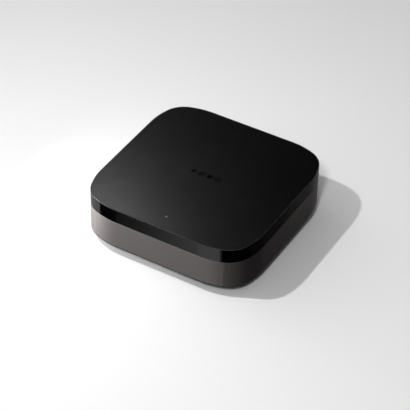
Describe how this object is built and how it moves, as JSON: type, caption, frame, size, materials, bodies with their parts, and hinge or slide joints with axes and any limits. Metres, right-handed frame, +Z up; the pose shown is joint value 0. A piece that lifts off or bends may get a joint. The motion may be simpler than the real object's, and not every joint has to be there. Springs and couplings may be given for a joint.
{
  "type": "streaming media player",
  "caption": "Low rounded-square media player: satin black lid, glossy black infrared band, gunmetal housing, undercut base, rear sockets and a sprung pairing button.",
  "frame": {"origin": "centre of the footprint, at the plane that the rubber foot stands on", "axes": "+Z up through the lid, -Y the front with the status light, +Y the rear with the sockets and button, +X to the right seen from the front"},
  "size_m": [0.105, 0.105, 0.033],
  "materials": {
    "lid_black": "fine satin texture",
    "mark_gloss": "gloss black inlay",
    "window_black": "polished, infrared-transparent black",
    "housing_gunmetal": "satin warm gunmetal metallic coating",
    "base_black": "fine spark texture",
    "foot_rubber": "matt",
    "steel": "zinc plated",
    "socket_steel": "nickel plated sheet",
    "board_green": "solder mask",
    "chip_black": "moulded epoxy",
    "heat_alu": "extruded",
    "pad_grey": "soft silicone",
    "cap_can": "drawn can",
    "passive_tan": "fired body",
    "socket_plastic": "moulded",
    "contact_gold": "gold plated",
    "link_amber": "translucent",
    "light_white": "diffusing light guide",
    "ribbon_white": "polyester film",
    "button_black": "satin",
    "switch_black": "moulded",
    "tape_grey": "acrylic foam tape"
  },
  "bodies": {
    "player": {"top_lid": "lid_black", "lid_symbols": "mark_gloss", "lid_adhesive": "tape_grey", "ir_window_band": "window_black", "inner_frame": "base_black", "lower_housing": "housing_gunmetal", "base_plate": "base_black", "rubber_foot_ring": "foot_rubber", "ballast_plate": "steel", "base_screws": "steel", "frame_screws": "steel", "board_screws": "steel", "sensor_board_screws": "steel", "main_board": "board_green", "sensor_board": "board_green", "soc_chip": "chip_black", "thermal_pad": "pad_grey", "memory_chips": "chip_black", "flash_chip": "chip_black", "power_chip": "chip_black", "power_inductors": "chip_black", "polymer_capacitors": "cap_can", "clock_crystal": "socket_steel", "ethernet_transformer": "chip_black", "wifi_module": "board_green", "wifi_shield": "socket_steel", "stamped_antennas": "contact_gold", "board_passives": "passive_tan", "heat_sink": "heat_alu", "heat_sink_pins": "switch_black", "ribbon_sockets": "socket_plastic", "ribbon_cable": "ribbon_white", "ir_receiver": "switch_black", "ir_emitters": "switch_black", "status_led": "light_white", "status_light_pipe": "light_white", "ethernet_jack_shell": "socket_steel", "ethernet_jack_core": "socket_plastic", "ethernet_contacts": "contact_gold", "link_lights": "link_amber", "hdmi_shell": "socket_steel", "hdmi_tongue": "socket_plastic", "hdmi_contacts": "contact_gold", "power_socket_shell": "socket_steel", "power_socket_tongue": "socket_plastic", "tact_switch": "switch_black"},
    "button": {"pairing_button": "button_black", "switch_plunger": "switch_black"}
  },
  "joints": [
    {"name": "pairing_button_press", "type": "slide", "parent": "player", "child": "button", "axis": [0, -1, 0], "range_m": [0, 0.0004], "stiffness_N_per_m": 3000, "springref_m": -0.0001}
  ]
}
